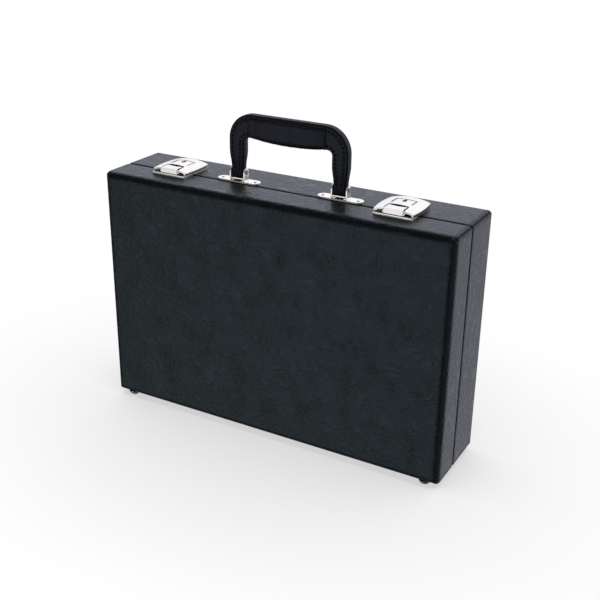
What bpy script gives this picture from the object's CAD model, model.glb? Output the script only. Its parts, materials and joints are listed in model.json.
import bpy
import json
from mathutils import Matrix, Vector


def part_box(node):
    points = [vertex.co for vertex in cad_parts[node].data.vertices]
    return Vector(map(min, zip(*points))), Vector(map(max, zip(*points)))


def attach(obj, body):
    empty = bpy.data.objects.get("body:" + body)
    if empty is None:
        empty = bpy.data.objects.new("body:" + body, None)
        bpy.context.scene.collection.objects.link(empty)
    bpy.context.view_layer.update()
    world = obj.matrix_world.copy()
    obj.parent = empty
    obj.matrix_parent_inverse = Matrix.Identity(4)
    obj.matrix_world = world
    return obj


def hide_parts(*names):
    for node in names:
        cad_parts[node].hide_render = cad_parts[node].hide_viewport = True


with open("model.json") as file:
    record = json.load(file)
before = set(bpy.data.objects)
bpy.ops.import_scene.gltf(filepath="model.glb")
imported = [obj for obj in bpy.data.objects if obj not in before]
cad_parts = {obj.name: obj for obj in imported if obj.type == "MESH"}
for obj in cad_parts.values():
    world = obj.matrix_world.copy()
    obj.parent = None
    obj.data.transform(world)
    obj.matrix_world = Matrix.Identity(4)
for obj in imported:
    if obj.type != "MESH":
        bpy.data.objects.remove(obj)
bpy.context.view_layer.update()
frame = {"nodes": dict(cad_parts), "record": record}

import json
import math

import bmesh
import bpy
from mathutils import Matrix, Vector, noise
from mathutils.bvhtree import BVHTree

MM = 0.001

# %% [markdown]
# ## Camera
# The photograph looks down on the case from its right and front. The place, the tilt and the
# lens were worked out from the case's corners, so the camera is set from its three axes and
# nothing is aimed by eye.
# %% Camera
IMAGE_SIDE = 600
FOCAL_PIXELS = 993.8
AZIMUTH, ELEVATION, ROLL = (math.radians(angle) for angle in (28.935, 23.735, 0.771))


def camera_axes():
    """Right, up and back of the camera as the columns of a matrix."""
    ahead = Vector((-math.sin(AZIMUTH) * math.cos(ELEVATION),
                    math.cos(AZIMUTH) * math.cos(ELEVATION), -math.sin(ELEVATION)))
    level = Vector((math.cos(AZIMUTH), math.sin(AZIMUTH), 0))
    upright = level.cross(ahead)
    right = math.cos(ROLL) * level + math.sin(ROLL) * upright
    up = math.cos(ROLL) * upright - math.sin(ROLL) * level
    return Matrix((right, up, -ahead)).transposed()


camera_data = bpy.data.cameras.new("camera")
camera = bpy.data.objects.new("camera", camera_data)
bpy.context.scene.collection.objects.link(camera)
camera_data.sensor_width = 36
camera_data.lens = FOCAL_PIXELS / IMAGE_SIDE * camera_data.sensor_width
camera.matrix_world = Matrix.Translation((0.47998, -0.84082, 0.57189)) @ camera_axes().to_4x4()
bpy.context.scene.camera = camera
bpy.context.scene.view_settings.view_transform = "Standard"
print("lens", round(camera_data.lens, 2), "mm")

# %% [markdown]
# ## Materials
# Every finish is a small tree of nodes. One helper adds a node, sets its values and joins its
# links, and another turns a hex colour into the linear numbers that a shader wants.
# %% Helpers for materials


def linear(hex_colour):
    """An sRGB colour such as "#808080" as linear red, green, blue and a full alpha."""
    channels = [int(hex_colour[start:start + 2], 16) / 255 for start in (1, 3, 5)]
    return [c / 12.92 if c <= 0.04045 else ((c + 0.055) / 1.055) ** 2.4 for c in channels] + [1.0]


def add_node(tree, kind, values=None, links=None, **settings):
    """One node with its own settings, the values of its sockets and what is linked into them."""
    made = tree.nodes.new("ShaderNode" + kind)
    for name, value in settings.items():
        setattr(made, name, value)
    for name, value in (values or {}).items():
        made.inputs[name].default_value = value
    for name, source in (links or {}).items():
        tree.links.new(source, made.inputs[name])
    return made


def new_material(name, **values):
    """A material with one shader, whose plain values are given by their socket names."""
    material = bpy.data.materials.new(name)
    material.use_nodes = True
    shader = material.node_tree.nodes["Principled BSDF"]
    for socket, value in values.items():
        shader.inputs[socket.replace("_", " ")].default_value = value
    return material, material.node_tree, shader


def waves_per_metre(millimetres):
    """A noise scale at which one blotch of the pattern is about that wide."""
    return 1 / (millimetres * MM)


# %% [markdown]
# ## Leathercloth
# The covering is PVC leathercloth: a woven back with a black vinyl face that was embossed
# between rollers in a boarded grain, a net of fine wavy creases 3 to 8 mm apart. It is nearly
# black, so what the eye sees is the shine: broad and soft, and broken up by the creases.
# The creases are where a bent noise crosses its middle value, which gives
# thin wandering lines, and a second noise lets them fade in and out.
# %% Leathercloth
CREASE_SPACING = (9.0, 4.5)   # two nets of creases, in mm
PEBBLE = 0.9                  # fine pebbles between the creases, in mm
CREASE_DEPTH = 0.28           # in mm
low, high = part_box("lid_covering")
CASE_HALF = high.x
CASE_LOW, CASE_HIGH = low.z, high.z
LID_FRONT, LID_RIM = low.y, high.y


def crease_net(tree, place, spacing, stretch, sharp):
    """Thin lines where a stretched noise crosses its middle."""
    shaped = add_node(tree, "VectorMath", operation="MULTIPLY", values={1: stretch}, links={0: place})
    blotches = add_node(tree, "TexNoise", values={"Scale": waves_per_metre(spacing), "Detail": 1.5,
                                                  "Roughness": 0.45},
                        links={"Vector": shaped.outputs[0]})
    off_middle = add_node(tree, "Math", operation="SUBTRACT", values={1: 0.5},
                          links={0: blotches.outputs["Fac"]})
    distance = add_node(tree, "Math", operation="ABSOLUTE", links={0: off_middle.outputs[0]})
    return add_node(tree, "MapRange", values={"From Min": 0.0, "From Max": sharp, "To Min": 1.0,
                                              "To Max": 0.0},
                    interpolation_type="SMOOTHSTEP", links={"Value": distance.outputs[0]})


def leather_grain(tree, spacing, pebble, depth_mm):
    """The height of a boarded grain and a bump node that carries it."""
    where = add_node(tree, "TexCoord")
    drift = add_node(tree, "TexNoise", values={"Scale": waves_per_metre(38), "Detail": 2.0},
                     links={"Vector": where.outputs["Object"]})
    centred = add_node(tree, "VectorMath", operation="SUBTRACT", values={1: (0.5, 0.5, 0.5)},
                       links={0: drift.outputs["Color"]})
    bend = add_node(tree, "VectorMath", operation="SCALE", values={"Scale": 0.030},
                    links={0: centred.outputs[0]})
    place = add_node(tree, "VectorMath", operation="ADD",
                     links={0: where.outputs["Object"], 1: bend.outputs[0]})
    long_net = crease_net(tree, place.outputs[0], spacing[0], (0.75, 0.9, 1.2), 0.20)
    fine_net = crease_net(tree, place.outputs[0], spacing[1], (1.3, 1.0, 0.8), 0.24)
    fade = add_node(tree, "TexNoise", values={"Scale": waves_per_metre(26), "Detail": 1.0},
                    links={"Vector": where.outputs["Object"]})
    share = add_node(tree, "MapRange", values={"From Min": 0.38, "From Max": 0.62},
                     links={"Value": fade.outputs["Fac"]})
    nets = add_node(tree, "Mix", links={0: share.outputs[0], 2: long_net.outputs[0],
                                        3: fine_net.outputs[0]})
    pebbles = add_node(tree, "TexVoronoi", values={"Scale": waves_per_metre(pebble)},
                       links={"Vector": place.outputs[0]})
    raised = add_node(tree, "Math", operation="MULTIPLY", values={1: -0.35},
                      links={0: pebbles.outputs["Distance"]})
    height = add_node(tree, "Math", operation="SUBTRACT",
                      links={0: raised.outputs[0], 1: nets.outputs[0]})
    bump = add_node(tree, "Bump", values={"Strength": 1.0, "Distance": depth_mm * MM},
                    links={"Height": height.outputs[0]})
    return where, nets, bump


def corner_folds(tree, where):
    """Puckers across the four corner seams, where the cloth was gathered, and the seam's line."""
    parts = add_node(tree, "SeparateXYZ", links={0: where.outputs["Object"]})
    across = add_node(tree, "Math", operation="ABSOLUTE", links={0: parts.outputs["X"]})
    beside = add_node(tree, "Math", operation="SUBTRACT", values={0: CASE_HALF},
                      links={1: across.outputs[0]})
    middle = (CASE_LOW + CASE_HIGH) / 2
    up = add_node(tree, "Math", operation="SUBTRACT", values={1: middle}, links={0: parts.outputs["Z"]})
    away = add_node(tree, "Math", operation="ABSOLUTE", links={0: up.outputs[0]})
    below = add_node(tree, "Math", operation="SUBTRACT", values={0: CASE_HIGH - middle},
                     links={1: away.outputs[0]})
    off_corner = add_node(tree, "Math", operation="MAXIMUM",
                          links={0: beside.outputs[0], 1: below.outputs[0]})
    near = add_node(tree, "MapRange", values={"From Min": 0.5 * MM, "From Max": 7.5 * MM,
                                              "To Min": 1.0, "To Max": 0.0},
                    links={"Value": off_corner.outputs[0]})
    drift = add_node(tree, "TexNoise", values={"Scale": waves_per_metre(5), "Detail": 1.0},
                     links={"Vector": where.outputs["Object"]})
    shift = add_node(tree, "Math", operation="MULTIPLY", values={1: 11.0},
                     links={0: drift.outputs["Fac"]})
    phase = add_node(tree, "Math", operation="MULTIPLY_ADD", values={1: 2 * math.pi / (2.1 * MM)},
                     links={0: parts.outputs["Y"], 2: shift.outputs[0]})
    ripple = add_node(tree, "Math", operation="SINE", links={0: phase.outputs[0]})
    puckers = add_node(tree, "Math", operation="MULTIPLY",
                       links={0: ripple.outputs[0], 1: near.outputs[0]})
    off_diagonal = add_node(tree, "Math", operation="SUBTRACT",
                            links={0: beside.outputs[0], 1: below.outputs[0]})
    from_seam = add_node(tree, "Math", operation="ABSOLUTE", links={0: off_diagonal.outputs[0]})
    line = add_node(tree, "MapRange", values={"From Min": 0.45 * MM, "From Max": 0.95 * MM,
                                              "To Min": 1.0, "To Max": 0.0},
                    links={"Value": from_seam.outputs[0]})
    at_corner = add_node(tree, "MapRange", values={"From Min": 3.0 * MM, "From Max": 5.0 * MM,
                                                   "To Min": 1.0, "To Max": 0.0},
                         links={"Value": off_corner.outputs[0]})
    seam = add_node(tree, "Math", operation="MULTIPLY",
                    links={0: line.outputs[0], 1: at_corner.outputs[0]})
    return puckers, seam


leathercloth, tree, shader = new_material("PVC leathercloth, boarded grain", IOR=1.4, Roughness=0.32)
shader.inputs["Specular Tint"].default_value = linear("#d9f7f8")
where, creases, bump = leather_grain(tree, CREASE_SPACING, PEBBLE, CREASE_DEPTH)
colour = add_node(tree, "Mix", data_type="RGBA", links={0: creases.outputs[0]})
colour.inputs[6].default_value = linear("#0b0d0f")
colour.inputs[7].default_value = linear("#060708")
tree.links.new(colour.outputs[2], shader.inputs["Base Color"])
shine = add_node(tree, "MapRange", values={"To Min": 0.30, "To Max": 0.38},
                 links={"Value": creases.outputs[0]})
tree.links.new(shine.outputs[0], shader.inputs["Roughness"])
folds, seam = corner_folds(tree, where)
seam_shine = add_node(tree, "MapRange", values={"To Min": 0.5, "To Max": 0.03},
                      links={"Value": seam.outputs[0]})
tree.links.new(seam_shine.outputs[0], shader.inputs["Specular IOR Level"])
puckers = add_node(tree, "Bump", values={"Strength": 1.0, "Distance": 0.55 * MM},
                   links={"Height": folds.outputs[0], "Normal": bump.outputs[0]})
tree.links.new(puckers.outputs[0], shader.inputs["Normal"])
print("creases", CREASE_SPACING, "mm apart")

# %% [markdown]
# ## Handle leather
# The handle is covered in smooth black leather with a very fine grain, wiped with wax.
# It shines a little more than the case, with wrinkles only a millimetre or two long.
# %% Handle leather
handle_leather, tree, shader = new_material("smooth waxed leather", IOR=1.38, Roughness=0.48)
shader.inputs["Specular Tint"].default_value = linear("#e7f2ff")
where, creases, bump = leather_grain(tree, (3.2, 1.8), 0.6, 0.06)
colour = add_node(tree, "Mix", data_type="RGBA", links={0: creases.outputs[0]})
colour.inputs[6].default_value = linear("#0e1013")
colour.inputs[7].default_value = linear("#08090b")
tree.links.new(colour.outputs[2], shader.inputs["Base Color"])
tree.links.new(bump.outputs[0], shader.inputs["Normal"])

# %% [markdown]
# ## Metals
# The latches, plates and feet are pressed steel with bright nickel plating: a warm white mirror
# with the faint haze of a part that is handled. Pins, the lock and the
# staple are bare steel, duller and a little scratched, and the key turns a brass barrel.
# %% Metals


def metal(name, colour, roughness, haze, scratch_mm, lean=0.0, metallic=1.0):
    """A metal whose shine varies a little, in blotches and in fine scratches.

    Upright walls of pressed sheet lean back from the die, which a leaning normal gives."""
    material, tree, shader = new_material(name, Metallic=metallic, Roughness=roughness)
    shader.inputs["Base Color"].default_value = linear(colour)
    where = add_node(tree, "TexCoord")
    blotches = add_node(tree, "TexNoise", values={"Scale": waves_per_metre(6), "Detail": 4.0},
                        links={"Vector": where.outputs["Object"]})
    rough = add_node(tree, "MapRange", values={"From Min": 0.3, "From Max": 0.7,
                                               "To Min": roughness, "To Max": roughness + haze},
                     links={"Value": blotches.outputs["Fac"]})
    tree.links.new(rough.outputs[0], shader.inputs["Roughness"])
    drawn = add_node(tree, "VectorMath", operation="MULTIPLY", values={1: (1.0, 0.06, 1.0)},
                     links={0: where.outputs["Object"]})
    scratches = add_node(tree, "TexNoise", values={"Scale": waves_per_metre(scratch_mm)},
                         links={"Vector": drawn.outputs[0]})
    surface = add_node(tree, "NewGeometry")
    leaning = add_node(tree, "VectorMath", operation="ADD", values={1: (0.0, 0.0, lean)},
                       links={0: surface.outputs["Normal"]})
    normal = add_node(tree, "VectorMath", operation="NORMALIZE", links={0: leaning.outputs[0]})
    bump = add_node(tree, "Bump", values={"Strength": 0.25, "Distance": 0.01 * MM},
                    links={"Height": scratches.outputs["Fac"], "Normal": normal.outputs[0]})
    tree.links.new(bump.outputs[0], shader.inputs["Normal"])
    return material


nickel = metal("bright nickel plate", "#e9e5d8", 0.08, 0.06, 0.5, lean=0.13)
formed_nickel = metal("nickel plate on formed edges", "#f8f4e8", 0.10, 0.06, 0.5, lean=0.13,
                      metallic=0.8)
steel = metal("bare steel", "#b4b4b6", 0.32, 0.12, 0.4)
brass = metal("turned brass", "#d2b46e", 0.25, 0.12, 0.4)
blackened, tree, shader = new_material("blackened metal", Roughness=0.8, Specular_IOR_Level=0.0)
shader.inputs["Base Color"].default_value = linear("#0b0a09")

# %% [markdown]
# ## Wood, plush and lip
# The boards are poplar, which shows only where the cloth stops, with long pale grain. The inside
# is cotton plush, a short dark pile that catches light at grazing angles, so it gets sheen.
# The locating lip is matt black pressboard.
# %% Wood, plush and lip
poplar, tree, shader = new_material("poplar board", IOR=1.5, Roughness=0.65)
where = add_node(tree, "TexCoord")
along = add_node(tree, "VectorMath", operation="MULTIPLY", values={1: (0.04, 1.0, 1.0)},
                 links={0: where.outputs["Object"]})
grain = add_node(tree, "TexNoise", values={"Scale": waves_per_metre(2.5), "Detail": 4.0},
                 links={"Vector": along.outputs[0]})
colour = add_node(tree, "Mix", data_type="RGBA", links={0: grain.outputs["Fac"]})
colour.inputs[6].default_value = linear("#c9ad80")
colour.inputs[7].default_value = linear("#9c7d50")
tree.links.new(colour.outputs[2], shader.inputs["Base Color"])

plush, tree, shader = new_material("cotton plush", Roughness=0.95, Sheen_Weight=0.6,
                                   Sheen_Roughness=0.4, Specular_IOR_Level=0.1)
where = add_node(tree, "TexCoord")
strokes = add_node(tree, "TexNoise", values={"Scale": waves_per_metre(14), "Detail": 3.0},
                   links={"Vector": where.outputs["Object"]})
colour = add_node(tree, "Mix", data_type="RGBA", links={0: strokes.outputs["Fac"]})
colour.inputs[6].default_value = linear("#14161c")
colour.inputs[7].default_value = linear("#262a34")
tree.links.new(colour.outputs[2], shader.inputs["Base Color"])
pile = add_node(tree, "TexNoise", values={"Scale": waves_per_metre(0.7), "Detail": 3.0},
                links={"Vector": where.outputs["Object"]})
bump = add_node(tree, "Bump", values={"Strength": 0.8, "Distance": 0.4 * MM},
                links={"Height": pile.outputs["Fac"]})
tree.links.new(bump.outputs[0], shader.inputs["Normal"])

pressboard, tree, shader = new_material("black pressboard", IOR=1.45, Roughness=0.6)
where = add_node(tree, "TexCoord")
fibres = add_node(tree, "TexNoise", values={"Scale": waves_per_metre(0.8), "Detail": 2.0},
                  links={"Vector": where.outputs["Object"]})
bump = add_node(tree, "Bump", values={"Strength": 0.4, "Distance": 0.05 * MM},
                links={"Height": fibres.outputs["Fac"]})
tree.links.new(bump.outputs[0], shader.inputs["Normal"])
shader.inputs["Base Color"].default_value = linear("#191a1c")

felt, tree, shader = new_material("black felt", Roughness=1.0, Specular_IOR_Level=0.05)
where = add_node(tree, "TexCoord")
fuzz = add_node(tree, "TexNoise", values={"Scale": waves_per_metre(0.4), "Detail": 2.0},
                links={"Vector": where.outputs["Object"]})
bump = add_node(tree, "Bump", values={"Strength": 0.6, "Distance": 0.1 * MM},
                links={"Height": fuzz.outputs["Fac"]})
tree.links.new(bump.outputs[0], shader.inputs["Normal"])
shader.inputs["Base Color"].default_value = linear("#0c0c0d")

linen_thread, tree, shader = new_material("waxed linen thread", IOR=1.5, Roughness=0.5)
where = add_node(tree, "TexCoord")
twist = add_node(tree, "TexWave", values={"Scale": 700.0}, links={"Vector": where.outputs["Object"]})
bump = add_node(tree, "Bump", values={"Strength": 0.4, "Distance": 0.05 * MM},
                links={"Height": twist.outputs["Fac"]})
tree.links.new(bump.outputs[0], shader.inputs["Normal"])
shader.inputs["Base Color"].default_value = linear("#08090a")

# %% [markdown]
# ## Finishes on the CAD nodes
# The metal parts and boards already have their true shapes, so they only get a material and
# a small bevel: pressed and plated sheet has no knife edges, and the thin line of light on
# an edge is what makes metal look like metal.
# %% Finishes on the CAD nodes
SLOT_FINISH = {"nickel": nickel, "steel": steel, "brass": brass, "wood": poplar, "plush": plush,
               "lip": pressboard, "leathercloth": leathercloth, "handle_leather": handle_leather}
COVER_BEVEL = 0.22
PLATE_BEVEL = 0.2
BEVEL = {"nickel": 0.14, "steel": 0.12, "brass": 0.12, "lip": 0.4}


def soften(obj, bevel_mm, angle=35):
    """Joins the mesh's split corners, rounds its edges a little and shades it smooth."""
    obj.data.shade_smooth()
    weld = obj.modifiers.new("joined corners", "WELD")
    weld.merge_threshold = 0.003 * MM
    bevel = obj.modifiers.new("broken edges", "BEVEL")
    bevel.width = bevel_mm * MM
    bevel.segments = 2
    bevel.angle_limit = math.radians(angle)
    bevel.use_clamp_overlap = True
    normals = obj.modifiers.new("flat faces", "WEIGHTED_NORMAL")
    normals.weight = 100
    return obj


slots = {row["node"]: row["material_slot"] for row in frame["record"]["subparts"]}
for name, obj in frame["nodes"].items():
    obj.data.materials.clear()
    obj.data.materials.append(SLOT_FINISH[slots[name]])
    if name.endswith(("_cover", "_lock_plate")):
        soften(obj, COVER_BEVEL)
    elif name.endswith("_lid_plate") or name.startswith("handle_plate"):
        obj.data.materials[0] = formed_nickel
        soften(obj, PLATE_BEVEL)
    elif slots[name] in BEVEL:
        soften(obj, BEVEL[slots[name]])
print(len(slots), "nodes finished")

# %% [markdown]
# ## Skins
# Each half is one sheet of leathercloth, glued over the face, folded round the sides, over the
# rim and a little way inside. A sheet that follows a box is easiest as loops: a flat
# grid for the face, then one rounded rectangle after another down the side. All loops have
# the same number of points, so the sheet is made of even quads.
# %% Loops of a skin
BASE_RIM, BASE_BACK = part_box("base_covering")[0].y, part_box("base_covering")[1].y
LID_EDGE, BASE_EDGE = 8 * MM, 3 * MM     # rounding round the front and the back face
CORNER = 3.8 * MM         # rounding of the corners between the sides
SEAM_DEEP, SEAM_WIDE = 0.50 * MM, 0.6 * MM      # the seam folded into each corner
RIM_ROLL = 2.5 * MM       # rounding where the cloth turns over the rim
BOARD = 8 * MM            # board and cloth together
CLOTH = 0.6 * MM
COLUMNS, ROWS, CORNER_STEPS = 80, 52, 12
BESIDE_SEAM = [place * MM for place in (0.35, 0.75, 1.2, 1.8, 2.8, 4.5)]


def side_points(start, end, count):
    """Places along a straight side: even, and closer together beside its two corners."""
    length, turn = abs(end - start), 1 if end > start else -1
    edge = BESIDE_SEAM[-1]
    places = [0] + BESIDE_SEAM + [edge + (length - 2 * edge) * step / count for step in range(1, count)]
    places += [length - place for place in reversed(BESIDE_SEAM)]
    return [start + turn * place for place in places]


def rounded_rectangle(out_x, out_z, radius):
    """Points round a rectangle about the origin, closer together beside its corners."""
    x, z = out_x - radius, out_z - radius
    points = []
    for corner_x, corner_z, start, count in ((x, -z, -90, ROWS), (x, z, 0, COLUMNS),
                                             (-x, z, 90, ROWS), (-x, -z, 180, COLUMNS)):
        for step in range(CORNER_STEPS):
            angle = math.radians(start + 90 * step / CORNER_STEPS)
            points.append((corner_x + radius * math.cos(angle), corner_z + radius * math.sin(angle)))
        if count == ROWS:
            side = math.copysign(out_x, corner_x)
            points += [(side, place) for place in side_points(corner_z, -corner_z, ROWS)]
        else:
            side = math.copysign(out_z, corner_z)
            points += [(place, side) for place in side_points(corner_x, -corner_x, COLUMNS)]
    return points


def loop_points(inset, seam=1.0):
    """A loop of (x, z) points with a seam in each corner, inset from the case's outline."""
    out_x, out_z = CASE_HALF - inset, (CASE_HIGH - CASE_LOW) / 2 - inset
    middle = (CASE_LOW + CASE_HIGH) / 2
    folded = []
    for x, z in rounded_rectangle(out_x, out_z, max(CORNER - inset, 0)):
        off_seam = (out_x - abs(x)) - (out_z - abs(z))
        close = out_x - abs(x) + out_z - abs(z) < 2 * SEAM_WIDE + 2 * CORNER
        dip = SEAM_DEEP * seam * math.exp(-(off_seam / SEAM_WIDE) ** 2) * 0.707 if close else 0
        folded.append((x - math.copysign(dip, x), middle + z - math.copysign(dip, z)))
    return folded


def skin_profile(face, edge, rim, wrap):
    """Inset, depth and share of the seam from the face, over the edge, down the side and over
    the rim."""
    turn = 1 if rim > face else -1
    stations = []
    for step in range(13):
        angle = math.radians(90 * step / 12)
        stations.append((edge * (1 - math.sin(angle)), face + turn * edge * (1 - math.cos(angle)),
                         min(1.0, step / 4)))
    start, end = face + turn * edge, rim - turn * RIM_ROLL
    count = max(4, round(abs(end - start) / (4 * MM)))
    stations += [(0, start + (end - start) * step / count, 1.0) for step in range(1, count)]
    for step in range(6):
        angle = math.radians(90 * step / 5)
        stations.append((RIM_ROLL * (1 - math.cos(angle)),
                         rim - turn * RIM_ROLL * (1 - math.sin(angle)), max(0.0, 1 - step / 2)))
    inner = BOARD + CLOTH
    stations += [(inset, rim, 0.0) for inset in (4 * MM, 6 * MM, inner - 0.5 * MM)]
    stations += [(inner - 0.15 * MM, rim - turn * 0.15 * MM, 0.0), (inner, rim - turn * 0.5 * MM, 0.0),
                 (inner, rim - turn * wrap, 0.0)]
    return stations


print("one loop has", len(loop_points(0)), "points")

# %% Build the two skins


def new_piece(name, vertices, faces, material, body):
    """A smooth shaded mesh piece that rides on a body."""
    mesh = bpy.data.meshes.new(name)
    mesh.from_pydata([tuple(v) for v in vertices], [], faces)
    work = bmesh.new()
    work.from_mesh(mesh)
    bmesh.ops.remove_doubles(work, verts=work.verts, dist=0.001 * MM)
    bmesh.ops.recalc_face_normals(work, faces=work.faces)
    work.to_mesh(mesh)
    work.free()
    mesh.shade_smooth()
    mesh.materials.append(material)
    obj = bpy.data.objects.new(name, mesh)
    bpy.context.scene.collection.objects.link(obj)
    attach(obj, body)
    return obj


def join_rings(rings):
    """Quads between each closed ring of points and the next."""
    faces = []
    for inner, outer in zip(rings, rings[1:]):
        count = len(inner)
        for index in range(count):
            following = (index + 1) % count
            faces.append((inner[index], inner[following], outer[following], outer[index]))
    return faces


def fill_grid(xs, zs, y, vertices):
    """Adds a flat grid of points at depth y, and returns its quads."""
    start = len(vertices)
    vertices += [(x, y, z) for x in xs for z in zs]
    rows = len(zs)
    return [(start + column * rows + row, start + (column + 1) * rows + row,
             start + (column + 1) * rows + row + 1, start + column * rows + row + 1)
            for column in range(len(xs) - 1) for row in range(rows - 1)]


def build_skin(name, face, edge, rim, wrap, body, node):
    """The leathercloth of one half, as one sheet with its thickness on the inside."""
    vertices, rings = [], []
    for inset, depth, seam in skin_profile(face, edge, rim, wrap):
        points = loop_points(inset, seam)
        rings.append(range(len(vertices), len(vertices) + len(points)))
        vertices += [(x, depth, z) for x, z in points]
    faces = join_rings(rings)
    half_x, low_z, high_z = CASE_HALF - edge, CASE_LOW + edge, CASE_HIGH - edge
    faces += fill_grid(side_points(-half_x, half_x, COLUMNS) + [half_x],
                       side_points(low_z, high_z, ROWS) + [high_z], face, vertices)
    turn = 1 if rim > face else -1
    settled = []
    for x, y, z in vertices:
        swell = noise.noise(Vector((x, y, z)) * 22) + 0.5 * noise.noise(Vector((x, y, z)) * 60)
        sink = (0.10 + 0.06 * swell) * MM
        near_face = abs(y - face) < 0.5 * MM
        settled.append((x, y + turn * sink, z) if near_face else (x, y, z))
    obj = new_piece(name, settled, faces, leathercloth, body)
    thickness = obj.modifiers.new("cloth thickness", "SOLIDIFY")
    thickness.thickness = CLOTH
    thickness.offset = -1
    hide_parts(node)
    return obj


lid_skin = build_skin("lid_skin", LID_FRONT, LID_EDGE, LID_RIM, 6.1 * MM, "lid", "lid_covering")
base_skin = build_skin("base_skin", BASE_BACK, BASE_EDGE, BASE_RIM, 0.9 * MM, "base", "base_covering")
print("skins", len(lid_skin.data.polygons), "and", len(base_skin.data.polygons), "quads")

# %% [markdown]
# ## Handle strap
# The handle is leather folded round a steel strip and stitched through near both edges, so each
# face has a rolled edge, a groove where the thread pulls in, and a slightly full middle. A
# strap like this is a section carried along a path. Here each station has an outer and an
# inner point, so the strap can widen above the ears and turn the corner with a large
# radius outside and a small one inside.
# %% Stations of the strap
strap_low, strap_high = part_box("handle_strap")
CASE_TOP = CASE_HIGH
HANDLE_Y = (strap_low.y + strap_high.y) / 2
HANDLE_TOP = strap_high.z - CASE_TOP
POST_X = 59.2 * MM                    # middle of a post
FOOT_WIDE, POST_WIDE = 14.8 * MM, 18 * MM
FOOT_DEEP, STRAP_DEEP = 4.4 * MM, 5.5 * MM      # half the thickness
TOE_MIDDLE = 7.6 * MM                 # centre of the rounded toe, over the case
WIDENS = (15.5 * MM, 34 * MM)         # between these heights the post widens
OUTER_TURN, INNER_TURN = 27 * MM, 5 * MM
STRAP_UNDER = 48.4 * MM
STITCH_INSET = 4.2 * MM               # stitch row from the strap's edge
STITCH_PITCH, STITCH_LONG, THREAD = 4.3 * MM, 3.3 * MM, 0.42 * MM
STITCH_START = 15 * MM                # lowest hole, over the case


def smooth(share):
    """0 to 1 with a soft start and end."""
    share = max(0.0, min(1.0, share))
    return share * share * (3 - 2 * share)


def post_station(height):
    """Outer point, inner point and half thickness of the right post at a height."""
    share = smooth((height - WIDENS[0]) / (WIDENS[1] - WIDENS[0]))
    half = (FOOT_WIDE + (POST_WIDE - FOOT_WIDE) * share) / 2
    deep = FOOT_DEEP + (STRAP_DEEP - FOOT_DEEP) * share
    if height < TOE_MIDDLE:
        deep = math.sqrt(max(FOOT_DEEP ** 2 - (TOE_MIDDLE - height) ** 2, 0)) + 0.05 * MM
    return (POST_X + half, height), (POST_X - half, height), deep


def half_strap():
    """Stations from the right foot to the middle of the handle."""
    toe = [TOE_MIDDLE - FOOT_DEEP * math.cos(math.radians(angle)) for angle in (4, 20, 40, 60, 80)]
    straight = [TOE_MIDDLE + step * 0.75 * MM for step in range(48)]
    stations = [post_station(height) for height in toe + straight]
    outer_x, outer_z = POST_X + POST_WIDE / 2 - OUTER_TURN, HANDLE_TOP - OUTER_TURN
    inner_x, inner_z = POST_X - POST_WIDE / 2 - INNER_TURN, STRAP_UNDER - INNER_TURN
    for step in range(49):
        angle = math.radians(90 * step / 48)
        stations.append(((outer_x + OUTER_TURN * math.cos(angle), outer_z + OUTER_TURN * math.sin(angle)),
                         (inner_x + INNER_TURN * math.cos(angle), inner_z + INNER_TURN * math.sin(angle)),
                         STRAP_DEEP))
    for step in range(1, 13):
        share = 1 - step / 12
        stations.append(((outer_x * share, HANDLE_TOP), (inner_x * share, STRAP_UNDER), STRAP_DEEP))
    return stations


right_half = half_strap()
left_half = [((-outer[0], outer[1]), (-inner[0], inner[1]), deep) for outer, inner, deep in right_half]
strap_stations = right_half + left_half[-2::-1]
print(len(strap_stations), "stations")

# %% The strap's section


def row_point(station, from_outer):
    """The point of one stitch row at a station, on the strap's middle plane."""
    outside, inside = (Vector((point[0], 0, point[1])) for point in station[:2])
    across = (inside - outside).normalized()
    return outside + across * STITCH_INSET if from_outer else inside - across * STITCH_INSET


def row_lengths(from_outer):
    """Length along one stitch row at every station, or None on the feet."""
    lengths, walked, last = [], 0.0, None
    for station in strap_stations:
        here = row_point(station, from_outer)
        if station[0][1] <= STITCH_START:
            lengths.append(None)
            continue
        walked += (here - last).length if last else 0.0
        last = here
        lengths.append(walked)
    return lengths


def hole(walked):
    """1 at a stitch hole and 0 between two holes."""
    if walked is None:
        return 0.0
    off = (walked + STITCH_PITCH / 2) % STITCH_PITCH - STITCH_PITCH / 2
    return math.exp(-(off / (0.8 * MM)) ** 2)


def strap_quarter(half, deep, holed):
    """A quarter of the section: from the layered edge over the roll and groove to the middle."""
    corner, level = min(2.6 * MM, deep * 0.9), deep - 0.3 * MM
    flat = max(level - corner, 0)
    points = [(half - dip * MM * min(flat / (2 * MM), 1), flat * share)
              for share, dip in ((0.1, 0), (0.42, 0), (0.6, 0.28), (0.78, 0))]
    for step in range(6):
        angle = math.radians(90 * step / 6)
        points.append((half - corner + corner * math.cos(angle), level - corner + corner * math.sin(angle)))
    face = [corner] + [STITCH_INSET + off * MM for off in (-1.25, -0.8, -0.4, 0, 0.4, 0.8, 1.25)]
    face += [face[-1] + (half - face[-1]) * share for share in (0.35, 0.7)]
    for distance in face:
        off = (distance - STITCH_INSET) / MM
        groove = (0.12 * math.exp(-(off / 0.7) ** 2) + 1.1 * holed * math.exp(-(off / 0.85) ** 2)) * MM
        full = 0.25 * MM * smooth(off / 3)
        points.append((half - distance, min(deep, level + full) - groove * (deep > 3 * MM)))
    return points


def strap_section(width, deep, outer_hole, inner_hole):
    """Points (towards the outside, towards the back) round the strap."""
    near_side = strap_quarter(width / 2, deep, outer_hole)
    inner = [(-u, v) for u, v in reversed(strap_quarter(width / 2, deep, inner_hole))]
    near_side += [(0, near_side[-1][1])] + inner
    return near_side + [(u, -v) for u, v in reversed(near_side)]


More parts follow.
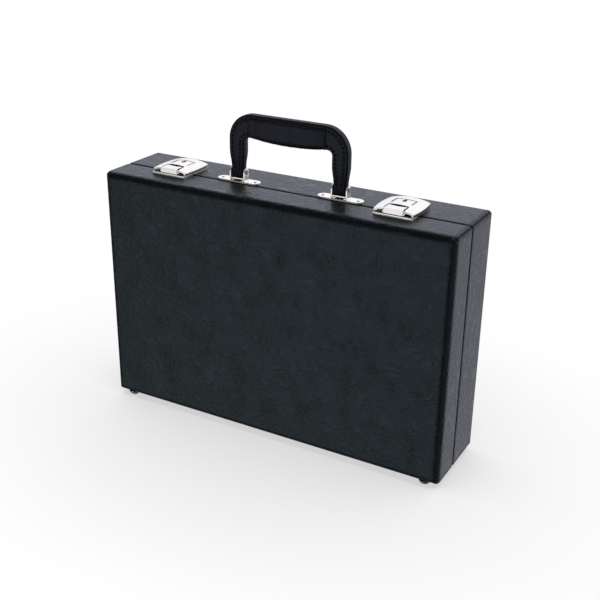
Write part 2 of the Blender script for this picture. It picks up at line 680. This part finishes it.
def build_strap():
    """The whole strap as rings of points joined by quads, with a cap at each foot."""
    vertices, rings = [], []
    for (outer, inner, deep), out_row, in_row in zip(strap_stations, row_lengths(True), row_lengths(False)):
        outside, inside = Vector((outer[0], 0, outer[1])), Vector((inner[0], 0, inner[1]))
        across = (outside - inside).normalized()
        centre = (outside + inside) / 2
        thick = max(deep, 0.6 * MM)
        section = strap_section((outside - inside).length, thick, hole(out_row), hole(in_row))
        rings.append(range(len(vertices), len(vertices) + len(section)))
        for towards_out, towards_back in section:
            point = centre + across * towards_out
            vertices.append((point.x, HANDLE_Y + towards_back * deep / thick, CASE_TOP + point.z))
    faces = join_rings(rings) + [tuple(rings[0]), tuple(reversed(rings[-1]))]
    return new_piece("handle_leather_strap", vertices, faces, handle_leather, "handle")


strap = build_strap()
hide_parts("handle_strap")

# %% [markdown]
# ## Stitches
# Two rows of waxed thread run along each face, 4.7 mm in from the edges. Each stitch is a short
# round thread that dips into the leather at its ends, so it is made as a small bent
# capsule, and one mesh holds them all.
# %% Stitches


def thread_places(from_outer):
    """Middle, direction and strap thickness of every stitch of a row, halfway between holes."""
    placed, target, last = [], STITCH_PITCH / 2, None
    for station, walked in zip(strap_stations, row_lengths(from_outer)):
        if walked is None:
            continue
        here = row_point(station, from_outer)
        if walked >= target and last:
            placed.append((here, (here - last).normalized(), station[2]))
            target += STITCH_PITCH
        last = here
    return placed


def thread_capsule(vertices, faces, centre, along, outward, length, radius):
    """A thread that bows outward in its middle and dips at its ends."""
    across = along.cross(outward)
    rings = []
    profile = ((-0.5, 0.25, -0.9), (-0.42, 0.8, -0.45), (-0.2, 1.0, 0.1), (0.0, 1.0, 0.25),
               (0.2, 1.0, 0.1), (0.42, 0.8, -0.45), (0.5, 0.25, -0.9))
    for share, wide, rise in profile:
        ring = []
        for step in range(8):
            angle = math.radians(45 * step)
            offset = (across * math.cos(angle) + outward * math.sin(angle)) * radius * wide
            ring.append(len(vertices))
            vertices.append(centre + along * length * share + outward * radius * rise + offset)
        rings.append(ring)
    for ring, following in zip(rings, rings[1:]):
        for step in range(8):
            faces.append((ring[step], ring[(step + 1) % 8], following[(step + 1) % 8], following[step]))
    faces += [tuple(reversed(rings[0])), tuple(rings[-1])]


GRIP_HALF = 45 * MM
thread_vertices, thread_faces, stitch_count = [], [], 0
for from_outer in (True, False):
    for place, along, deep in thread_places(from_outer):
        if abs(place.x) < GRIP_HALF - 1 * MM and place.z > STRAP_UNDER:
            continue
        for side in (-1, 1):
            centre = Vector((place.x, HANDLE_Y + side * (deep - 0.80 * MM), CASE_TOP + place.z))
            thread_capsule(thread_vertices, thread_faces, centre, along, Vector((0, side, 0)),
                           STITCH_LONG, THREAD)
            stitch_count += 1
stitches = new_piece("handle_stitches", thread_vertices, thread_faces, linen_thread, "handle")
print(stitch_count, "stitches")

# %% [markdown]
# ## Padded grip
# A felt pad is wrapped in a leather sleeve and pulled tight round the bar, so the grip swells
# towards the middle, closes in a seam on its face and puckers at its ends. It is a skin of
# rings along the bar: the felt gives the even swell, and small dents and folds are
# moved in by hand, at the seam and where the leather was gathered.
# %% Grip
GRIP_TOP = HANDLE_TOP - 3.6 * MM
THICK_END, THICK_MID = 14 * MM, 17.4 * MM
UNDER_END, UNDER_MID = 48 * MM, 44.7 * MM
SEAM_X = 5.6 * MM
END_ROLL = 2.6 * MM
GRIP_RINGS, GRIP_POINTS = 220, 64


def grip_outline(thick, under):
    """Points (across, height) round the grip: soft shoulders, straight sides, round belly."""
    half = thick / 2
    shoulder = 2.0 * MM
    points = []
    sides = GRIP_POINTS // 4
    for step in range(sides):
        angle = math.radians(90 * step / sides)
        points.append((half * math.sin(angle), under + half - half * math.cos(angle)))
    straight_low, straight_high = under + half, GRIP_TOP - shoulder
    for step in range(sides // 2):
        points.append((half, straight_low + (straight_high - straight_low) * step / (sides // 2)))
    for step in range(sides // 2 + 1):
        angle = math.radians(90 * step / (sides // 2))
        points.append((half - shoulder + shoulder * math.cos(angle),
                       straight_high + shoulder * math.sin(angle)))
    points.append((0, GRIP_TOP))
    mirror = [(-y, z) for y, z in points[1:-1][::-1]]
    return points + mirror


def pull(x, across, height):
    """How far the leather is drawn in at a point of the grip: seam, gathers and end folds."""
    side = 1 if across > 0 else -1
    seam = 0.35 * MM * math.exp(-((x - SEAM_X) / (0.6 * MM)) ** 2)
    end_left, end_right = x + GRIP_HALF, GRIP_HALF - x
    gather_right = math.exp(-end_right / (15 * MM))
    gather_left = math.exp(-end_left / (7 * MM))
    lean = (height - 56 * MM) * 0.10 * side
    folds = 0.5 + 0.5 * math.sin((x + lean) * 2 * math.pi / (3.0 * MM)
                                 + 6.0 * noise.noise(Vector((x * 75, height * 45, side * 3.0))))
    gathers = (0.50 * gather_right + 0.30 * gather_left) * MM * folds
    crease = 0.35 * MM * max(0.0, noise.noise(Vector((x * 150, height * 50, side * 7.0))))
    return seam + gathers + crease


def build_grip():
    """The sleeve as rings along the bar, rolled in at both ends."""
    vertices, rings = [], []
    for step in range(GRIP_RINGS + 1):
        along = 2 * step / GRIP_RINGS - 1
        x = along * GRIP_HALF
        swell = 1 - along ** 2
        end = GRIP_HALF - abs(x)
        rolled = END_ROLL * (1 - math.sqrt(max(0.0, 1 - (1 - min(end / END_ROLL, 1)) ** 2)))
        thick = THICK_END + (THICK_MID - THICK_END) * swell - 2 * rolled
        under = UNDER_END + (UNDER_MID - UNDER_END) * swell + rolled
        ring = []
        for across, height in grip_outline(thick, under):
            middle = Vector((0, (under + GRIP_TOP) / 2))
            outward = Vector((across, height)) - middle
            outward.y *= 0.35
            share = pull(x, across, height) if height < GRIP_TOP - 0.5 * MM else 0.0
            moved = Vector((across, height)) - outward.normalized() * share
            ring.append(len(vertices))
            vertices.append((x, HANDLE_Y + moved.x, CASE_TOP + moved.y))
        rings.append(ring)
    faces = join_rings(rings) + [tuple(reversed(rings[0])), tuple(rings[-1])]
    return new_piece("handle_padded_grip", vertices, faces, handle_leather, "handle")


grip = build_grip()
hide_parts("handle_grip")
print("grip", len(grip.data.polygons), "quads")

# %% [markdown]
# ## Plush linings and fitted insert
# Each half is lined with plush glued to card, which turns the inside corners softly. A lining is
# one sheet again: down the walls, round the bottom corners and over the bottom. The insert is
# shaped foam under the same plush. Cloth over foam has no sharp edge anywhere, so the insert's
# solid is wrapped again in an even net of small squares, which is then relaxed, and
# the pile gives it a slight unevenness.
# %% Linings
LINING = 1.5 * MM
LINING_TURN = 5 * MM


def build_lining(name, node, body):
    """The plush tray of one half as a sheet, thickened towards the boards."""
    low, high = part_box(node)
    is_lid = high.y < BASE_RIM
    rim, bottom = (high.y, low.y + LINING) if is_lid else (low.y, high.y - LINING)
    turn = 1 if is_lid else -1
    stations = [(LINING, rim - turn * depth * MM) for depth in (0.4, 3, 8, 14, 20)]
    for step in range(9):
        angle = math.radians(90 * step / 8)
        stations.append((LINING + LINING_TURN * (1 - math.cos(angle)),
                         bottom + turn * LINING_TURN * (1 - math.sin(angle))))
    stations.insert(0, (LINING - 0.9 * MM, rim - turn * 0.1 * MM))
    vertices, rings = [], []
    middle_z = (low.z + high.z) / 2
    for inset, depth in stations:
        points = rounded_rectangle(high.x - inset, (high.z - low.z) / 2 - inset,
                                   max(LINING_TURN + LINING - inset, 0.0))
        rings.append(range(len(vertices), len(vertices) + len(points)))
        vertices += [(x, depth, middle_z + z) for x, z in points]
    inset = stations[-1][0]
    faces = join_rings(rings)
    faces += fill_grid(side_points(inset - high.x, high.x - inset, COLUMNS) + [high.x - inset],
                       side_points(low.z + inset, high.z - inset, ROWS) + [high.z - inset],
                       bottom, vertices)
    settled = [(x, y - turn * 0.5 * MM * noise.noise(Vector((x, y, z)) * 35) ** 2, z) for x, y, z in vertices]
    obj = new_piece(name, settled, faces, plush, body)
    thickness = obj.modifiers.new("card and plush", "SOLIDIFY")
    thickness.thickness = LINING - 0.3 * MM
    thickness.offset = -1
    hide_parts(node)
    return obj


linings = [build_lining("lid_plush_lining", "lid_lining", "lid"),
           build_lining("base_plush_lining", "base_lining", "base")]
print("linings", [len(obj.data.polygons) for obj in linings], "quads")

# %% Insert
insert_source = frame["nodes"]["base_insert"]
insert_mesh = insert_source.data.copy()
insert_mesh.transform(insert_source.matrix_world)
insert_mesh.materials.clear()
insert_mesh.materials.append(plush)
insert = bpy.data.objects.new("plush_insert", insert_mesh)
bpy.context.scene.collection.objects.link(insert)
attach(insert, "base")
wrap = insert.modifiers.new("even net", "REMESH")
wrap.mode = "VOXEL"
wrap.voxel_size = 2.2 * MM
wrap.use_smooth_shade = True
relax = insert.modifiers.new("soft edges", "SMOOTH")
relax.factor, relax.iterations = 0.5, 5
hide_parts("base_insert")
print("insert wrapped")

# %% [markdown]
# ## Lock barrels and keyholes
# The key goes into a turned brass barrel, blackened against wear, that sits well below the
# lock plate, so the keyhole looks black. The CAD barrel fills the hole for the sake of its
# joint, so the face of this one is set lower. The edge of the hole is pressed in as a small
# dish, made as a ring between the hole's outline and a slightly larger one.
# %% Lock barrels and keyholes
FACE_DROP = 2.2 * MM
KEY_ROUND, KEY_SLOT_HALF, KEY_SLOT_REACH = 1.3 * MM, 0.6 * MM, 3.4 * MM
DISH_WIDE, DISH_DEEP = 0.85 * MM, 1.7 * MM
DISH_FORWARD = 0.6                    # longer towards the front, where keys have worn it
KEY_BACK = 12.2 * MM                  # keyhole behind the parting plane


def sunk_barrel(side):
    """The lock barrel of one latch with its face set back from the keyhole."""
    node = "latch_%s_lock_barrel" % side
    source = frame["nodes"][node]
    mesh = source.data.copy()
    mesh.transform(source.matrix_world)
    top = max(vertex.co.z for vertex in mesh.vertices)
    for vertex in mesh.vertices:
        if vertex.co.z > top - 0.5 * FACE_DROP:
            vertex.co.z -= FACE_DROP
    mesh.materials.clear()
    mesh.materials.append(blackened)
    obj = bpy.data.objects.new("latch_%s_sunk_barrel" % side, mesh)
    bpy.context.scene.collection.objects.link(obj)
    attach(obj, "latch_%s_barrel" % side)
    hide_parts(node)


def sheet_height(side):
    """A function that gives the top of the latch's sheets at a place seen from above."""
    trees = []
    for part in ("cover", "lock_plate", "bracket"):
        obj = frame["nodes"]["latch_%s_%s" % (side, part)]
        places = [obj.matrix_world @ vertex.co for vertex in obj.data.vertices]
        trees.append(BVHTree.FromPolygons(places, [polygon.vertices[:] for polygon in obj.data.polygons]))

    def height(x, y):
        found = [tree.ray_cast(Vector((x, y, CASE_HIGH + 20 * MM)), Vector((0, 0, -1)))[0] for tree in trees]
        return max([place.z for place in found if place] + [CASE_HIGH])

    return height


def keyhole_outline(extra):
    """Points round the keyhole, a round with a slot towards the back, made larger by extra."""
    points = []
    for step in range(72):
        angle = math.radians(5 * step)
        across, back = math.cos(angle), math.sin(angle)
        reach = KEY_ROUND + extra
        if back > 0:
            in_slot = min((KEY_SLOT_HALF + extra) / max(abs(across), 1e-6), (KEY_SLOT_REACH + extra) / back)
            reach = max(reach, in_slot)
        forward = 1 + max(extra, 0) / DISH_WIDE * DISH_FORWARD if back < 0 else 1
        points.append((across * reach, back * reach * forward))
    return points


def keyhole_dish(side):
    """The pressed edge of one keyhole."""
    low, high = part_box("latch_%s_lock_plate" % side)
    middle_x, middle_y = (low.x + high.x) / 2, (LID_RIM + BASE_RIM) / 2 + KEY_BACK
    height = sheet_height(side)
    tops = [height(middle_x + x, middle_y + y) for x, y in keyhole_outline(DISH_WIDE)]
    vertices, rings = [], []
    for extra, drop in ((DISH_WIDE, 0.0), (DISH_WIDE * 0.8, -0.05 * MM), (-0.02 * MM, -0.03 * MM),
                        (-0.06 * MM, 0.2 * MM), (-0.06 * MM, DISH_DEEP), (0.1 * MM, DISH_DEEP),
                        (DISH_WIDE * 0.9, 0.3 * MM)):
        outline = keyhole_outline(extra)
        rings.append(range(len(vertices), len(vertices) + len(outline)))
        vertices += [(middle_x + x, middle_y + y, top - drop) for (x, y), top in zip(outline, tops)]
    rings.append(rings[0])
    obj = new_piece("latch_%s_keyhole_dish" % side, vertices, join_rings(rings), blackened,
                    "latch_%s_hasp" % side)
    return obj


for side in ("left", "right"):
    sunk_barrel(side)
    print(keyhole_dish(side).name, len(bpy.data.meshes), "meshes so far")

# %% [markdown]
# ## Black lines of the latches
# Polish and dust gather in the narrow gaps of a plated latch and turn them black, and these
# lines are what draws the lock plate and the bracket. Each line is a thin strip that lies over
# its gap and follows the crown of the cover, whose height is found by a ray from above.
# %% Black lines
LINE_RISE, LINE_DEEP, LINE_STEPS = 0.04 * MM, 0.35 * MM, 16
LOCK_GAP_X, LOCK_GAP_Y = 10.65, (3.9, 17.6)
SLOT_GAP_X, SLOT_GAP_Y = 10.25, (-13.2, -2.2)
COVER_HALF, COVER_MIDDLE, EDGE_BOW = 22.5, 6.5, 111.25    # the bowed side of the cover
EDGE_Y, EDGE_LOW, EDGE_HIGH = (-13.6, 26.4), 2.75, 3.75


def gap_lines(side):
    """The strips of one latch: beside the lock plate, round the bracket and below the edges."""
    low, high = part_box("latch_%s_lock_plate" % side)
    middle_x, middle_y = (low.x + high.x) / 2, (LID_RIM + BASE_RIM) / 2
    height = sheet_height(side)
    strips = [((sign * LOCK_GAP_X, LOCK_GAP_Y[0]), (sign * LOCK_GAP_X, LOCK_GAP_Y[1]), 0.6)
              for sign in (-1, 1)]
    strips += [((sign * SLOT_GAP_X, SLOT_GAP_Y[0]), (sign * SLOT_GAP_X, SLOT_GAP_Y[1]), 0.55)
               for sign in (-1, 1)]
    strips.append(((-SLOT_GAP_X - 0.42, SLOT_GAP_Y[1]), (SLOT_GAP_X + 0.42, SLOT_GAP_Y[1]), 0.75))
    vertices, faces = [], []
    for start, end, half in strips:
        start, end = Vector(start) * MM, Vector(end) * MM
        across = Vector((start.y - end.y, end.x - start.x)).normalized() * half * MM
        rings = []
        for step in range(LINE_STEPS + 1):
            here = start.lerp(end, step / LINE_STEPS) + Vector((middle_x, middle_y))
            sides = [here + across, here - across]
            top = max(height(place.x, place.y) for place in sides) + LINE_RISE
            rings.append(range(len(vertices), len(vertices) + 4))
            corners = zip(sides + sides[::-1], (top, top, top - LINE_DEEP, top - LINE_DEEP))
            vertices += [(place.x, place.y, z) for place, z in corners]
        faces += join_rings(rings) + [tuple(reversed(rings[0])), tuple(rings[-1])]
    for sign in (-1, 1):
        rings = []
        for step in range(LINE_STEPS + 1):
            y = EDGE_Y[0] + (EDGE_Y[1] - EDGE_Y[0]) * step / LINE_STEPS
            bow = math.sqrt(EDGE_BOW ** 2 - (y - COVER_MIDDLE) ** 2) - EDGE_BOW
            rings.append(range(len(vertices), len(vertices) + 4))
            vertices += [(middle_x + sign * (COVER_HALF + bow + out) * MM, middle_y + y * MM, CASE_TOP + z * MM)
                         for out, z in ((0.06, EDGE_LOW), (0.06, EDGE_HIGH), (-0.3, EDGE_HIGH), (-0.3, EDGE_LOW))]
        faces += join_rings(rings) + [tuple(reversed(rings[0])), tuple(rings[-1])]
    return new_piece("latch_%s_gap_lines" % side, vertices, faces, blackened,
                     "latch_%s_hasp" % side)


for side in ("left", "right"):
    print(gap_lines(side).name)

# %% [markdown]
# ## Pads under the handle
# A small black felt pad lies on each handle plate in front of the strap. It keeps the strap's
# foot from knocking on the metal, and reads as a dark opening below the leather.
# %% Pads
PAD_HALF_X, PAD_HALF_Y, PAD_THICK, PAD_FRONT = 4.6 * MM, 2.2 * MM, 0.35 * MM, 3.1 * MM


def felt_pad(side, sign):
    """One pad as a rounded slab whose top edge is worn round."""
    low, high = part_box("handle_plate_" + side)
    level = CASE_TOP + 1.6 * MM
    vertices, rings = [], []
    for inset, rise in ((0.0, 0.0), (0.0, 0.6), (0.12 * MM, 0.9), (0.35 * MM, 1.0)):
        outline = []
        for step in range(40):
            angle = 2 * math.pi * step / 40
            cosine, sine = math.cos(angle), math.sin(angle)
            outline.append((math.copysign(abs(cosine) ** 0.22, cosine) * (PAD_HALF_X - inset),
                            math.copysign(abs(sine) ** 0.22, sine) * (PAD_HALF_Y - inset)))
        rings.append(range(len(vertices), len(vertices) + len(outline)))
        vertices += [(sign * POST_X + x, HANDLE_Y - PAD_FRONT + y, level + PAD_THICK * rise)
                     for x, y in outline]
    faces = join_rings(rings) + [tuple(reversed(rings[0])), tuple(rings[-1])]
    return new_piece("handle_pad_" + side, vertices, faces, felt, "base")


pads = [felt_pad("left", -1), felt_pad("right", 1)]
print(len(pads), "pads")

# %% [markdown]
# ## Rivets
# The plates are held by round headed rivets. The head is formed by a cup shaped set, so it is
# a low dome with a short upright rim, turned here as rings round its own axis.
# %% Rivets
DOME = ((1.0, 0.0), (1.0, 0.22), (0.95, 0.45), (0.82, 0.68), (0.62, 0.86), (0.35, 0.97), (0.12, 1.0))


def separate_boxes(node):
    """The boxes of the separate pieces of a node's mesh."""
    source = frame["nodes"][node]
    work = bmesh.new()
    work.from_mesh(source.data)
    work.transform(source.matrix_world)
    bmesh.ops.remove_doubles(work, verts=work.verts, dist=0.01 * MM)
    unseen, boxes = set(work.verts), []
    while unseen:
        group, edge = [], [unseen.pop()]
        while edge:
            vertex = edge.pop()
            group.append(vertex.co.copy())
            for link in vertex.link_edges:
                other = link.other_vert(vertex)
                if other in unseen:
                    unseen.remove(other)
                    edge.append(other)
        boxes.append([[pick(point[axis] for point in group) for axis in range(3)] for pick in (min, max)])
    work.free()
    return sorted(boxes)


def domed_rivets(node, body):
    """Round heads in the places of a node's rivets."""
    vertices, faces = [], []
    boxes = separate_boxes(node)
    for low, high in boxes:
        x, y = (low[0] + high[0]) / 2, (low[1] + high[1]) / 2
        radius, height = (high[0] - low[0]) / 2, high[2] - low[2]
        rings = []
        for wide, rise in DOME:
            rings.append(range(len(vertices), len(vertices) + 20))
            for step in range(20):
                angle = math.radians(18 * step)
                vertices.append((x + radius * wide * math.cos(angle), y + radius * wide * math.sin(angle),
                                 low[2] + height * rise))
        faces += join_rings(rings) + [tuple(reversed(rings[0])), tuple(rings[-1])]
    obj = new_piece(node + "_domed", vertices, faces, nickel, body)
    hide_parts(node)
    return len(boxes)


rivet_nodes = {"handle_rivets": "base"}
for side in ("left", "right"):
    rivet_nodes["latch_%s_lid_rivets" % side] = "lid"
    rivet_nodes["latch_%s_base_rivets" % side] = "base"
print({node: domed_rivets(node, body) for node, body in rivet_nodes.items()})

# %% [markdown]
# ## Floor and light
# A plain white sweep. The floor is clear apart from the shade that the case throws on it, so
# the lid can be seen when it opens past the edge that the case stands on. Shiny leather and
# nickel show the room around them: a wide window behind, a bright table low in front on the
# left, and a dark room elsewhere, which draws the dark band along each rounded edge.
# %% Floor and light
floor_mesh = bpy.data.meshes.new("floor")
floor_mesh.from_pydata([(-3, -3, 0), (3, -3, 0), (3, 3, 0), (-3, 3, 0)], [], [(0, 1, 2, 3)])
floor = bpy.data.objects.new("floor", floor_mesh)
bpy.context.scene.collection.objects.link(floor)
floor_shade = bpy.data.materials.new("shaded floor")
floor_shade.use_nodes = True
tree = floor_shade.node_tree
openness = add_node(tree, "AmbientOcclusion", values={"Distance": 0.30}, samples=16)
shade = add_node(tree, "MapRange", values={"From Min": 0.35, "From Max": 1.0, "To Min": 0.62, "To Max": 1.0},
                 links={"Value": openness.outputs["AO"]})
clear = add_node(tree, "BsdfTransparent", links={"Color": shade.outputs[0]})
tree.links.new(clear.outputs[0], tree.nodes["Material Output"].inputs["Surface"])
floor_mesh.materials.append(floor_shade)
floor.visible_glossy = False

world = bpy.data.worlds.new("studio")
bpy.context.scene.world = world
world.use_nodes = True
tree = world.node_tree
backdrop = tree.nodes["Background"]
direction = add_node(tree, "TexCoord")
parts = add_node(tree, "SeparateXYZ", links={0: direction.outputs["Generated"]})


def glow(towards, start, full, level):
    """A soft bright patch of the room round one direction."""
    facing = add_node(tree, "VectorMath", operation="DOT_PRODUCT", values={1: towards},
                      links={0: direction.outputs["Generated"]})
    return add_node(tree, "MapRange", values={"From Min": start, "From Max": full, "To Min": 0.0,
                                              "To Max": level},
                    interpolation_type="SMOOTHSTEP", links={"Value": facing.outputs["Value"]})


window = glow((0.0, 1.0, 0.0), 0.15, 0.62, 1.05)
height = add_node(tree, "MapRange", values={"From Min": -0.4, "From Max": 0.4, "To Min": 0.72,
                                            "To Max": 1.12}, links={"Value": parts.outputs["Z"]})
behind = add_node(tree, "Math", operation="MULTIPLY", links={0: window.outputs[0], 1: height.outputs[0]})
in_front = glow((-0.36, -0.865, -0.35), 0.84, 0.955, 1.0)
at_right = glow((0.86, -0.31, -0.40), 0.955, 0.985, 0.5)
both = add_node(tree, "Math", operation="ADD", links={0: behind.outputs[0], 1: in_front.outputs[0]})
lights = add_node(tree, "Math", operation="ADD", links={0: both.outputs[0], 1: at_right.outputs[0]})
room = add_node(tree, "Math", operation="ADD", values={1: 0.07}, links={0: lights.outputs[0]})
seen = add_node(tree, "LightPath")
shine = add_node(tree, "Mix", values={2: 0.8}, links={0: seen.outputs["Is Glossy Ray"], 3: room.outputs[0]})
white = add_node(tree, "Mix", values={3: 1.0}, links={0: seen.outputs["Is Camera Ray"], 2: shine.outputs[0]})
tree.links.new(white.outputs[0], backdrop.inputs["Strength"])
tint = add_node(tree, "Mix", data_type="RGBA", links={0: seen.outputs["Is Glossy Ray"]})
tint.inputs[6].default_value = (1, 1, 1, 1)
tint.inputs[7].default_value = (0.93, 0.94, 1.07, 1)
tree.links.new(tint.outputs[2], backdrop.inputs["Color"])


def soft_lamp(name, place, aim, side, watts):
    """A square area lamp that looks at a point."""
    data = bpy.data.lights.new(name, "AREA")
    data.shape, data.size, data.energy = "SQUARE", side, watts
    lamp = bpy.data.objects.new(name, data)
    bpy.context.scene.collection.objects.link(lamp)
    lamp.location = place
    lamp.rotation_euler = (Vector(aim) - Vector(place)).to_track_quat("-Z", "Y").to_euler()
    return lamp


key = soft_lamp("key_lamp", (-0.6, -1.2, 1.6), (0, 0, 0.15), 1.2, 5)
key.visible_glossy = False
